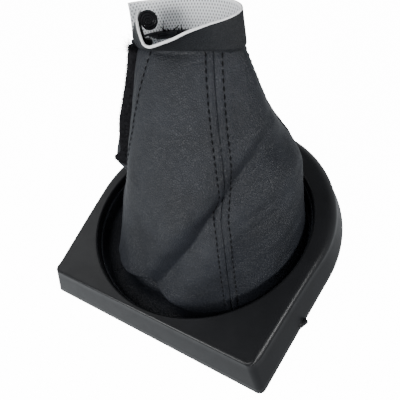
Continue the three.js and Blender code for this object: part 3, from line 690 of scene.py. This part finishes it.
def leather_material(name, dark, light, rough):
    """Printed pebble grain: rounded cells about 1.1 mm wide with creases between them, over finer pores. The
    colour and gloss drift slowly, and the creases between the cells are a little darker."""
    material, tree, shader, place = new_material(name)
    shifted = tree.nodes.new("ShaderNodeVectorMath")
    shifted.operation = "MULTIPLY_ADD"
    tree.links.new(noise(tree, place, 700, 2, "Color"), shifted.inputs[0])
    shifted.inputs[1].default_value = (0.0009,) * 3
    tree.links.new(place, shifted.inputs[2])
    cells = tree.nodes.new("ShaderNodeTexVoronoi")
    cells.feature = "DISTANCE_TO_EDGE"
    cells.inputs["Scale"].default_value = 880
    tree.links.new(shifted.outputs[0], cells.inputs["Vector"])
    pebble = spread_between(tree, cells.outputs["Distance"], 0, 1, 0.0, 0.28)
    pores = noise(tree, place, 4200, 2)
    height = arithmetic(tree, "MULTIPLY_ADD", pores, 0.25, pebble)
    slow = noise(tree, place, 46, 3)
    tone = arithmetic(tree, "ADD", spread_between(tree, slow, -0.35, 0.35),
                      arithmetic(tree, "MULTIPLY_ADD", pebble, 0.5, 0.2))
    tree.links.new(shaded_between(tree, tone, dark, light), shader.inputs["Base Color"])
    gloss = spread_between(tree, noise(tree, place, 380, 3), rough - 0.05, rough + 0.06)
    tree.links.new(gloss, shader.inputs["Roughness"])
    shader.inputs["Specular IOR Level"].default_value = 0.30
    bump_chain(tree, shader, height, 0.00016, 0.9)
    return material


def knit_material(name, ground, hole, across=1.55, up=1.35):
    """Warp-knit backing: short dark holes in staggered rows on a white ground. The cell is across by up mm,
    every second row is moved half a cell, and a hole is a tall oval around the middle of each cell."""
    material, tree, shader, _ = new_material(name)
    layer = tree.nodes.new("ShaderNodeAttribute")
    layer.attribute_name = "cloth"
    split = tree.nodes.new("ShaderNodeSeparateXYZ")
    tree.links.new(layer.outputs["Vector"], split.inputs[0])
    row = arithmetic(tree, "MULTIPLY", split.outputs["Y"], 1000 / up)
    column = arithmetic(tree, "MULTIPLY", split.outputs["X"], 1000 / across)
    staggered = arithmetic(tree, "MULTIPLY_ADD", arithmetic(tree, "FLOOR", row), 0.5, column)
    x = arithmetic(tree, "SUBTRACT", arithmetic(tree, "FRACT", staggered), 0.5)
    y = arithmetic(tree, "MULTIPLY", arithmetic(tree, "SUBTRACT", arithmetic(tree, "FRACT", row), 0.5), 0.62)
    squares = arithmetic(tree, "MULTIPLY", x, x), arithmetic(tree, "MULTIPLY", y, y)
    away = arithmetic(tree, "SQRT", arithmetic(tree, "ADD", *squares))
    open_hole = spread_between(tree, away, 1, 0, 0.13, 0.30)
    tree.links.new(shaded_between(tree, open_hole, ground, hole), shader.inputs["Base Color"])
    shader.inputs["Roughness"].default_value = 0.9
    shader.inputs["Specular IOR Level"].default_value = 0.2
    shader.inputs["Sheen Weight"].default_value = 0.3
    bump_chain(tree, shader, arithmetic(tree, "SUBTRACT", 1.0, open_hole), 0.00022, 0.7)
    return material


grained_leather = leather_material(
    "grained_leather", (0.0085, 0.0098, 0.0128), (0.0180, 0.0207, 0.0272), 0.46)
white_knit = knit_material("white_knit_back", (0.90, 0.91, 0.93), (0.24, 0.25, 0.27))

make_panel("leather_front_left", body_surface, 0.0, 0.25, "panel_front_left", front_allowance)
make_panel("leather_front_right", body_surface, 0.25, 0.5, "panel_front_right", front_allowance)
make_panel("leather_rear_right", body_surface, 0.5, 0.75, "panel_rear_right", rear_allowance)
make_panel("leather_rear_left", rear_left_surface, 0.75, 1.0, "panel_rear_left", rear_allowance,
           lambda v: 0.035 * overlap_share(v))


# Seam allowances: the panels' edges, turned back behind each seam and held down by its two rows of stitches.
# They close the seams from inside, and are skived to the white knit near the mouth.

allowance_half, allowance_gap, thin_allowance = 5.0, 0.08, 0.22
skived_from, skived_to = 0.95, 0.977


def seam_allowance(name, seam, top):
    """A flat band behind a seam, half on each side, from the hem up to the height `top`."""
    v = np.linspace(-0.9, top, 160)[:, None]
    wide = allowance_half / stretch(body_surface, np.full_like(v, abs(seam - 0.012)), v)
    u = seam + np.linspace(-1, 1, 15) * wide
    plain, square = body_surface(u, v), normals(body_surface, u, v)
    depth = blend(leather_wall + thin_allowance, 2 * leather_wall, smooth(v, -0.7, -0.62))
    outer, inner = plain - square * (leather_wall + allowance_gap), plain - square * depth[..., None]
    skived = (v[:-1] > skived_from) & (v[:-1] < skived_to)
    band = make_sheet(name, outer, inner, [grained_leather, white_knit], lambda kinds: skived,
                      cloth=cloth_place(outer))


seam_allowance("allowance_front_seam", 0.25, 1.0)
seam_allowance("allowance_right_seam", 0.5, 1.0)
seam_allowance("allowance_rear_seam", 0.75, 1.008)
seam_allowance("allowance_left_seam", 0.0, slit_bottom - 0.06)


# Stitches: black thread in lockstitch, 3.4 mm a stitch. A row lies on each side of the front, right and rear
# seams, and one row beside the open seam holds the hook tape. Each stitch arches from hole to hole.

stitch_length, thread_radius = 2.7, 0.33


def tubes(centre, beside, other, thick, sides):
    """Tubes around many centre lines, all in one array (tube, section, side): each ring is a circle spanned
    by two directions, as thick as its section says."""
    turn = np.arange(sides)[:, None] / sides * 2 * np.pi
    ring = beside[..., None, :] * np.cos(turn) + other[..., None, :] * np.sin(turn)
    points = centre[:, :, None] + ring * thick[:, None, None]
    return points.reshape(-1, 3), copies_faces(*points.shape[:3])


def stitch_tubes(line, square, height=0.30, sections=9, sides=7):
    """Tubes along a line of points. They are placed from the line's end backwards, one a pitch. Each one's
    middle is lifted off the leather by half a sine wave, and its ends are sunk."""
    run = np.concatenate([[0], np.cumsum(np.linalg.norm(np.diff(line, axis=0), axis=1))])
    count = int((run[-1] - stitch_length) // stitch_pitch)
    t = np.linspace(0, 1, sections)
    at = run[-1] - 0.4 - stitch_length - np.arange(count)[:, None] * stitch_pitch + t[None] * stitch_length
    centre, up = (np.stack([np.interp(at, run, axis) for axis in values.T], -1) for values in (line, square))
    ahead = np.gradient(centre, axis=1)
    ahead /= np.linalg.norm(ahead, axis=-1, keepdims=True)
    beside = np.cross(ahead, up)
    beside /= np.linalg.norm(beside, axis=-1, keepdims=True)
    centre = centre + up * (height * np.sin(np.pi * t) - 0.16)[None, :, None]
    thick = thread_radius * np.clip(np.sqrt(np.sin(np.pi * np.clip(t, 0.02, 0.98))), 0.3, 1)
    return tubes(centre, beside, up, thick, sides)


def row_line(surface, first, place_at, low, high, steps=900):
    """Points and normals along a stitch row on the worked grain face. place_at gives its u for a height."""
    v = np.linspace(low, high, steps)
    u = place_at(v)
    square = normals(surface, u, v)
    return surface(u, v) + square * grain_relief(surface, u, v, first, first + 0.25)[:, None], square


def seam_row(surface, seam, side):
    """The row's u at each height: one stitch margin to that side of the seam."""
    return lambda v: seam + side * stitch_margin / stretch(surface, np.full_like(v, seam + side * 0.012), v)


def fibre_material(name, dark, light, cells, rough, shine, bump_cells, bump, strength, sheen=0):
    """A fibrous surface: a fine uneven colour over a fine bump. cells holds the colour's cells a metre and
    its detail, and bump_cells those of the bump."""
    material, tree, shader, place = new_material(name)
    tree.links.new(shaded_between(tree, noise(tree, place, *cells), dark, light), shader.inputs["Base Color"])
    shader.inputs["Roughness"].default_value = rough
    shader.inputs["Specular IOR Level"].default_value = shine
    shader.inputs["Sheen Weight"].default_value = sheen
    bump_chain(tree, shader, noise(tree, place, *bump_cells), bump, strength)
    return material


black_thread = fibre_material("black_thread", (0.002, 0.002, 0.0025), (0.006, 0.006, 0.007), (3000, 2),
                              0.85, 0.12, (5200, 1), 0.00008, 0.6)

rows_of_stitches = (   # name, surface, where its panel begins, its place around, its lowest and highest place
    ("front_seam_left", body_surface, 0, seam_row(body_surface, 0.25, -1), -0.06, 1.015),
    ("front_seam_right", body_surface, 0.25, seam_row(body_surface, 0.25, 1), -0.06, 1.008),
    ("right_seam_front", body_surface, 0.25, seam_row(body_surface, 0.5, -1), -0.06, 0.99),
    ("right_seam_rear", body_surface, 0.5, seam_row(body_surface, 0.5, 1), -0.06, 0.99),
    ("rear_seam_right", body_surface, 0.5, seam_row(body_surface, 0.75, -1), -0.06, 0.99),
    ("rear_seam_left", rear_left_surface, 0.75, seam_row(rear_left_surface, 0.75, 1), -0.06, 0.99),
    ("open_seam", body_surface, 0, slit_row_place, 0.40, 1.004))
for name, surface, first, place_at, low, high in rows_of_stitches:
    points, faces = stitch_tubes(*row_line(surface, first, place_at, low, high))
    make_piece("stitches_" + name, points, faces, [black_thread])


# Collar: a strip of the same leather sewn around the mouth with its lower edge folded under, so it stands a
# little proud of the panels. Its raw top shows white fleece, and its front left part hangs outwards.

collar_height, collar_wall, collar_end, collar_slant = 14.0, 1.2, 0.92, 0.03
collar_gap, free_end_rise, rear_end_rise, mouth_length = 0.3, 2.4, 2.0, 105
collar_rim = np.array([   # around, then how far the rim stands out along X and Y, as shares of the height
    (-0.01, 0.24, 0.42), (0, 0.235, 0.36), (0.012, 0.20, 0.26), (0.025, 0.225, 0.05), (0.038, 0.34, -0.23),
    (0.05, 0.44, -0.45), (0.063, 0.49, -0.59), (0.08, 0.52, -0.62), (0.105, 0.49, -0.59), (0.13, 0.44, -0.53),
    (0.16, 0.38, -0.43), (0.195, 0.24, -0.29), (0.227, 0.12, -0.19), (0.262, 0.03, -0.08), (0.307, 0, 0),
    (1, 0, 0)])


def curve_through(x, stations, values):
    """A smooth curve: a cubic between each pair of stations, whose slopes come from the neighbours."""
    slopes = np.gradient(values, stations)
    i = np.clip(np.searchsorted(stations, x) - 1, 0, len(stations) - 2)
    step = stations[i + 1] - stations[i]
    t = (x - stations[i]) / step
    return ((2 * t ** 3 - 3 * t * t + 1) * values[i] + (t ** 3 - 2 * t * t + t) * step * slopes[i]
            + (3 * t * t - 2 * t ** 3) * values[i + 1] + (t ** 3 - t * t) * step * slopes[i + 1])


def collar_base(u):
    """The join line under the collar and the level direction off it: the rear left panel's own line past the
    rear seam, the plain body's before it."""
    line = [np.where((at > 0.75)[..., None], rear_left_surface(at, 1.0), body_surface(at, 1.0))
            for at in (u, u - 1e-4, u + 1e-4)]
    run = line[2] - line[1]
    level = np.stack([run[..., 1], -run[..., 0], 0 * u], -1)
    return line[0], level / np.linalg.norm(level, axis=-1, keepdims=True)


def collar_surface(u, t):
    """The collar's grain face: t goes from its sewn edge, which rises a little at the front, to its rim. The
    rim stands out level by its share of the height, growing with a power of t, and what is left is its rise.
    Both ends are taller, and the free one stands upright, then bends back around the coil."""
    base, level = collar_base(u)
    away_x, away_y = (curve_through(u, collar_rim[:, 0], collar_rim[:, k]) for k in (1, 2))
    height = (collar_height + free_end_rise * (1 - smooth(u, 0, 0.03))
              + rear_end_rise * smooth(u, 0.75, collar_end))
    upright = 0.38 * (1 - smooth(u, 0.015, 0.045))
    lean = height * (np.clip(t - upright, 0, None) / (1 - upright)) ** 1.25
    rise = blend(collar_line(u), height * np.sqrt(1 - away_x ** 2 - away_y ** 2), t)
    return base + level * (collar_gap + collar_wall) + np.stack([away_x * lean, away_y * lean, rise], -1)


def collar_waves(u, t):
    """Slow waves of the soft strip, and small puckers and a rounding along its folded lower edge."""
    wave = 0.16 * np.sin(31 * u + 1) * np.sin(2.2 * t + 2 * u) + 0.10 * np.sin(67 * u + 2) * np.sin(4.2 * t)
    pucker = 0.06 * np.cos(2 * np.pi * u * mouth_length / stitch_pitch) * hump(t, 0.1, 0.1)
    return wave * (1 - t) + pucker - 0.45 * hump(t, 0, 0.045)


collar_leather = leather_material("collar_leather", (0.009, 0.0100, 0.0118), (0.0175, 0.0195, 0.0232), 0.54)
raw_edge = fibre_material("raw_edge_fleece", (0.93, 0.93, 0.94), (0.99, 0.99, 0.99), (2100, 4),
                          0.95, 0.15, (1700, 4), 0.0004, 0.8, 0.3)
u, t = np.meshgrid(np.concatenate([np.linspace(1, 0.12, 240), np.linspace(0.12, 0, 100)[1:]]),
                   np.linspace(0, 1, 50), indexing="ij")
u = u * (collar_end - collar_slant * t)
plain, square = collar_surface(u, t), normals(collar_surface, u, t)
outer = plain + square * collar_waves(u, t)[..., None]
inner = plain - square * collar_wall
edge_materials = np.array([0, 2, 1, 0])
collar = make_sheet("collar", outer, inner, [collar_leather, white_knit, raw_edge],
                    lambda kinds: edge_materials[kinds], 2, cloth_place(outer)[..., ::-1])
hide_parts("collar_band")


# Loop tape: the furry half of the closing, a woven black strip sewn along the edge of the rear left panel.
# Thousands of tiny loops stand on it, and its cut top end is frayed.

tape_gap, loop_width, loop_reach, loop_top = 0.45, 22.0, 0.03, 0.985


def loop_tape_place(across, v):
    """u for a share across the tape at the height v. The width is measured along the leather, back from the
    panel's edge: the length is summed over short steps and the place is found between two of them."""
    across, v = np.broadcast_arrays(across, v)
    back = np.linspace(0, 0.2, 70)
    u = 1 + loop_reach * overlap_share(v)[..., None] - back
    step = np.linalg.norm(np.diff(rear_left_surface(u, v[..., None]), axis=-2), axis=-1)
    run = np.concatenate([0 * u[..., :1], np.cumsum(step, -1)], -1)
    wanted = ((1 - across) * loop_width)[..., None]
    i = np.clip((run < wanted).sum(-1, keepdims=True), 1, len(back) - 1)
    low, high = np.take_along_axis(run, i - 1, -1), np.take_along_axis(run, i, -1)
    return (np.take_along_axis(u, i - 1, -1) - (wanted - low) / (high - low) * (back[1] - back[0]))[..., 0]


loop_black = fibre_material("loop_tape_black", (0.002, 0.002, 0.0025), (0.030, 0.030, 0.034), (1500, 3),
                            0.95, 0.08, (2300, 3), 0.0006, 0.9)
across, v = np.meshgrid(np.linspace(0, 1, 26), np.linspace(slit_bottom + 0.03, loop_top, 150), indexing="xy")
u = loop_tape_place(across, v)
plain, square = rear_left_surface(u, v), normals(rear_left_surface, u, v)
weave = 0.12 * np.sin(183 * v + 9 * across) * np.sin(17 * across)
outer = plain + square * (tape_gap + tape_wall + weave)[..., None]
loop_tape = make_sheet("loop_tape_strip", outer, plain + square * tape_gap, [loop_black])
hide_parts("loop_tape")


def fibres(root, out, lean, length, radius, sections=4, sides=3):
    """Bent fibres: each rises from its root along `out`, bends towards `lean` with the square of its length,
    and thins to its tip."""
    t = np.linspace(0, 1, sections)
    reach = length[:, None, None]
    centre = root[:, None] + (out[:, None] * t[:, None] + lean[:, None] * t[:, None] ** 2 * 0.8) * reach
    beside = np.cross(out, lean)
    beside /= np.maximum(np.linalg.norm(beside, axis=1, keepdims=True), 1e-9)
    return tubes(centre, beside[:, None], np.cross(out, beside)[:, None], (1 - 0.6 * t) * radius, sides)


fur_radius, fray_radius = 0.075, 0.11
rng = np.random.default_rng(11)
count = 11000
across, v = rng.uniform(0.0, 1.0, count), rng.uniform(slit_bottom + 0.03, loop_top + 0.004, count)
u = loop_tape_place(across, v)
square = normals(rear_left_surface, u, v)
root = rear_left_surface(u, v) + square * (tape_gap + tape_wall - 0.15)
out = square + 0.55 * rng.normal(size=(count, 3))
out /= np.linalg.norm(out, axis=1, keepdims=True)
frayed = v > loop_top - 0.012
length = rng.uniform(0.4, 1.05, count) * np.where(frayed, 2.0, 1)
points, faces = fibres(root, out, rng.normal(size=(count, 3)) * 0.7, length, fur_radius)
make_piece("loop_tape_fur", points, faces, [loop_black])

count = 420
across, v = 1 - 0.55 * rng.uniform(0.35, 1.0, count) ** 2, np.full(count, loop_top - 0.004)
u = loop_tape_place(across, v)
depth = rng.uniform(tape_gap, tape_gap + tape_wall, count)[:, None]
root = rear_left_surface(u, v) + normals(rear_left_surface, u, v) * depth
out = np.array([-0.15, -0.1, 1.0]) + 0.45 * rng.normal(size=(count, 3))
out /= np.linalg.norm(out, axis=1, keepdims=True)
points, faces = fibres(root, out, rng.normal(size=(count, 3)), rng.uniform(1.0, 4.2, count), fray_radius)
make_piece("loop_tape_fray", points, faces, [loop_black])


# Hook tape: the other half, sewn behind the edge of the front left panel. Its free end isn't cut off: it
# stands up in the mouth and is rolled into a tight coil.

coil_front, coil_radius, coil_turns, coil_pitch, coil_width = (-4.4, 8.5, 141.6), 4.6, 3.8, 1.08, 6.0
coil_turn, coil_tilt, stem_pull = np.radians(-48), np.radians(25), 4.0
hook_margin, hook_width, hook_top_width = 1.2, 10.0, 3.0
hook_black = fibre_material("hook_tape_black", (0.004, 0.004, 0.005), (0.014, 0.014, 0.016), (1500, 3),
                            0.6, 0.08, (2300, 3), 0.0003, 0.9)
share = np.linspace(0, 1, 22)[None]
v = np.linspace(slit_bottom + 0.03, 1 + front_allowance / body_rise, 90)[:, None]
start = hook_margin / stretch(body_surface, np.full_like(v, 0.01), v)
trimmed = blend(hook_width, hook_top_width, smooth(v, 0.70, 0.86))
u = start + share * trimmed / stretch(body_surface, np.full_like(v, 0.03), v)
lower = body_surface(u, v) - normals(body_surface, u, v) * (leather_wall + hook_gap + tape_wall / 2)

inwards = np.array([-np.sin(coil_turn), np.cos(coil_turn), 0])
level_axis = np.array([np.cos(coil_turn), np.sin(coil_turn), 0])
axis = level_axis * np.cos(coil_tilt) + np.array([0, 0, np.sin(coil_tilt)])
up = np.cross(axis, inwards)
turn = np.linspace(0, coil_turns * 2 * np.pi, 150)[:, None]
radius = coil_radius - tape_wall / 2 - coil_pitch * turn / (2 * np.pi)
roll = np.array(coil_front) - inwards * np.cos(turn) * radius + up * np.sin(turn) * radius
roll = roll[:, None] + axis * ((share - 1) * coil_width)[..., None]
steps = np.linspace(0, 1, 14)[1:-1, None, None]
begin, end = lower[-1:], roll[:1]
rise_out = lower[-1:] - lower[-2:-1]
rise_out *= stem_pull / np.linalg.norm(rise_out, axis=-1, keepdims=True)
stem = ((1 - steps) ** 3 * begin + 3 * steps * (1 - steps) ** 2 * (begin + rise_out * 0.6)
        + 3 * steps ** 2 * (1 - steps) * (end - up * stem_pull * 0.8) + steps ** 3 * end)
middle = np.concatenate([lower, stem, roll])
square = np.cross(np.gradient(middle, axis=1), np.gradient(middle, axis=0))
square /= np.linalg.norm(square, axis=-1, keepdims=True)
weave = 0.05 * np.sin(np.arange(len(middle)) * 1.9)[:, None] * np.sin(np.arange(share.size) * 1.4)[None]
outer = middle + square * (tape_wall / 2 + weave)[..., None]
hook_tape = make_sheet("hook_tape_roll", outer, middle - square * tape_wall / 2, [hook_black])
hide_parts("hook_tape")


# Thread ends: a few ends of the black sewing thread, left uncut where the collar was sewn on. They are stiff
# and stand up inside the collar's rear wall.

end_radius = 0.34
thread_ends = np.array([   # around, length in mm, lean along the wall, lean off the wall
    (0.762, 6.0, 0.05, 0.15), (0.752, 4.6, -0.85, 0.20), (0.731, 4.6, 0.95, 0.20), (0.739, 3.0, -0.9, 0.25),
    (0.703, 3.8, 0.1, 0.20), (0.708, 3.0, -0.5, 0.25)])
u = thread_ends[:, 0]
base, level = collar_base(u)
along_wall = np.cross(level, (0, 0, 1))
root = base + level * -0.3 + np.array([0, 0, 0.4])
out = np.array([0, 0, 1.0]) + along_wall * thread_ends[:, 2:3] - level * thread_ends[:, 3:]
out /= np.linalg.norm(out, axis=1, keepdims=True)
points, faces = fibres(root, out, along_wall * 0.4 - level * 0.2, thread_ends[:, 1], end_radius, 8, 6)
make_piece("thread_ends", points, faces, [black_thread])
